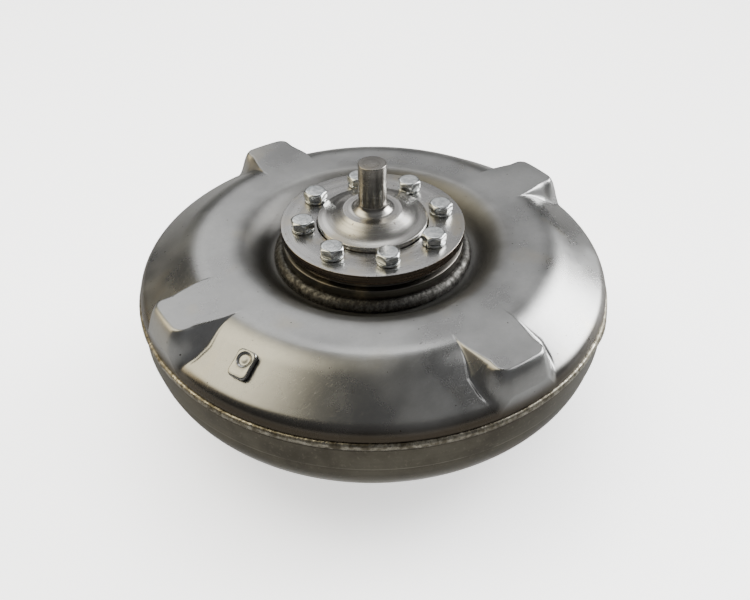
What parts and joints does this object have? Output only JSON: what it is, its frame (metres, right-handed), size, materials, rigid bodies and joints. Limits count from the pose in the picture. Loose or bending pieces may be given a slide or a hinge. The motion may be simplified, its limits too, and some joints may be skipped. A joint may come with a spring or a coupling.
{
  "type": "torque converter",
  "caption": "Welded hydrodynamic torque converter: lobed pressed cover, bolted pilot ring and shaft, pump shell with hub, turbine, and stator on a one-way roller clutch.",
  "frame": {"origin": "centre of the pump hub's end face, on the axis of rotation, which is the lowest point", "axes": "+Z along the axis of rotation from the pump hub to the pilot shaft; +X and +Y through two of the cover's four lobes"},
  "size_m": [0.2948, 0.2948, 0.176],
  "materials": {
    "pressed_steel": "satin, brushed and lightly scratched press-formed sheet",
    "pump_steel": "matt grey-brown press-formed sheet",
    "weld_metal": "rough weld bead, straw and silver",
    "weight_steel": "satin plate",
    "boss_steel": "turned forging, dark in the recess",
    "turned_steel": "turned, with fine tool marks",
    "ground_steel": "fine turned and polished",
    "spring_steel": "blued spring steel",
    "blade_steel": "plain pressed sheet, oiled",
    "zinc_plate": "bright zinc plate, slightly mottled",
    "cast_aluminium": "as-cast, fine grain",
    "bearing_bronze": "plain bearing bronze"
  },
  "bodies": {
    "housing": {"front_cover": "pressed_steel", "pump_shell": "pump_steel", "seam_weld_bead": "weld_metal", "balance_weight": "weight_steel", "drive_boss": "boss_steel", "boss_weld_bead": "weld_metal", "clamp_ring": "turned_steel", "pilot_shaft": "ground_steel", "ring_bolt_1": "zinc_plate", "ring_bolt_2": "zinc_plate", "ring_bolt_3": "zinc_plate", "ring_bolt_4": "zinc_plate", "ring_bolt_5": "zinc_plate", "ring_bolt_6": "zinc_plate", "ring_bolt_7": "zinc_plate", "ring_bolt_8": "zinc_plate", "spring_washer_1": "zinc_plate", "spring_washer_2": "zinc_plate", "spring_washer_3": "zinc_plate", "spring_washer_4": "zinc_plate", "spring_washer_5": "zinc_plate", "spring_washer_6": "zinc_plate", "spring_washer_7": "zinc_plate", "spring_washer_8": "zinc_plate", "pump_blade_cage": "blade_steel", "pump_hub": "turned_steel", "hub_weld_bead": "weld_metal", "rear_bearing_race": "spring_steel", "front_thrust_washer": "bearing_bronze"},
    "turbine": {"turbine_shell": "blade_steel", "turbine_blade_cage": "blade_steel", "turbine_hub": "turned_steel", "turbine_rivet_1": "turned_steel", "turbine_rivet_2": "turned_steel", "turbine_rivet_3": "turned_steel", "turbine_rivet_4": "turned_steel", "turbine_rivet_5": "turned_steel", "turbine_rivet_6": "turned_steel"},
    "inner_race": {"clutch_inner_race": "ground_steel"},
    "stator": {"stator_wheel": "cast_aluminium", "clutch_cam": "ground_steel", "roller_cage": "bearing_bronze", "clutch_front_plate": "bearing_bronze", "clutch_rear_plate": "bearing_bronze", "front_snap_ring": "spring_steel", "rear_snap_ring": "spring_steel"},
    "front_bearing": {"front_needle_bearing": "spring_steel"},
    "rear_bearing": {"rear_needle_bearing": "spring_steel"},
    "roller_1": {"clutch_roller_1": "ground_steel"},
    "roller_2": {"clutch_roller_2": "ground_steel"},
    "roller_3": {"clutch_roller_3": "ground_steel"},
    "roller_4": {"clutch_roller_4": "ground_steel"},
    "roller_5": {"clutch_roller_5": "ground_steel"},
    "roller_6": {"clutch_roller_6": "ground_steel"},
    "roller_7": {"clutch_roller_7": "ground_steel"},
    "roller_8": {"clutch_roller_8": "ground_steel"}
  },
  "joints": [
    {"name": "turbine_spin", "type": "hinge", "parent": "housing", "child": "turbine", "pos_m": [0, 0, 0.1013], "axis": [0, 0, 1], "continuous": true},
    {"name": "inner_race_turn", "type": "hinge", "parent": "housing", "child": "inner_race", "pos_m": [0, 0, 0.0774], "axis": [0, 0, 1], "continuous": true},
    {"name": "stator_freewheel", "type": "hinge", "parent": "inner_race", "child": "stator", "pos_m": [0, 0, 0.078], "axis": [0, 0, 1], "continuous": true},
    {"name": "front_bearing_turn", "type": "hinge", "parent": "housing", "child": "front_bearing", "pos_m": [0, 0, 0.09355], "axis": [0, 0, 1], "continuous": true},
    {"name": "rear_bearing_turn", "type": "hinge", "parent": "housing", "child": "rear_bearing", "pos_m": [0, 0, 0.06125], "axis": [0, 0, 1], "continuous": true},
    {"name": "roller_1_roll", "type": "hinge", "parent": "stator", "child": "roller_1", "pos_m": [0.0323, 0, 0.078], "axis": [0, 0, 1], "continuous": true},
    {"name": "roller_2_roll", "type": "hinge", "parent": "stator", "child": "roller_2", "pos_m": [0.02284, 0.02284, 0.078], "axis": [0, 0, 1], "continuous": true},
    {"name": "roller_3_roll", "type": "hinge", "parent": "stator", "child": "roller_3", "pos_m": [0, 0.0323, 0.078], "axis": [0, 0, 1], "continuous": true},
    {"name": "roller_4_roll", "type": "hinge", "parent": "stator", "child": "roller_4", "pos_m": [-0.02284, 0.02284, 0.078], "axis": [0, 0, 1], "continuous": true},
    {"name": "roller_5_roll", "type": "hinge", "parent": "stator", "child": "roller_5", "pos_m": [-0.0323, 0, 0.078], "axis": [0, 0, 1], "continuous": true},
    {"name": "roller_6_roll", "type": "hinge", "parent": "stator", "child": "roller_6", "pos_m": [-0.02284, -0.02284, 0.078], "axis": [0, 0, 1], "continuous": true},
    {"name": "roller_7_roll", "type": "hinge", "parent": "stator", "child": "roller_7", "pos_m": [0, -0.0323, 0.078], "axis": [0, 0, 1], "continuous": true},
    {"name": "roller_8_roll", "type": "hinge", "parent": "stator", "child": "roller_8", "pos_m": [0.02284, -0.02284, 0.078], "axis": [0, 0, 1], "continuous": true}
  ],
  "couplings": [
    {"joint": "front_bearing_turn", "follows": "turbine_spin", "ratio": 0.5},
    {"joint": "rear_bearing_turn", "follows": "inner_race_turn", "ratio": 0.5},
    {"joint": "roller_1_roll", "follows": "stator_freewheel", "ratio": 7},
    {"joint": "roller_2_roll", "follows": "stator_freewheel", "ratio": 7},
    {"joint": "roller_3_roll", "follows": "stator_freewheel", "ratio": 7},
    {"joint": "roller_4_roll", "follows": "stator_freewheel", "ratio": 7},
    {"joint": "roller_5_roll", "follows": "stator_freewheel", "ratio": 7},
    {"joint": "roller_6_roll", "follows": "stator_freewheel", "ratio": 7},
    {"joint": "roller_7_roll", "follows": "stator_freewheel", "ratio": 7},
    {"joint": "roller_8_roll", "follows": "stator_freewheel", "ratio": 7}
  ]
}
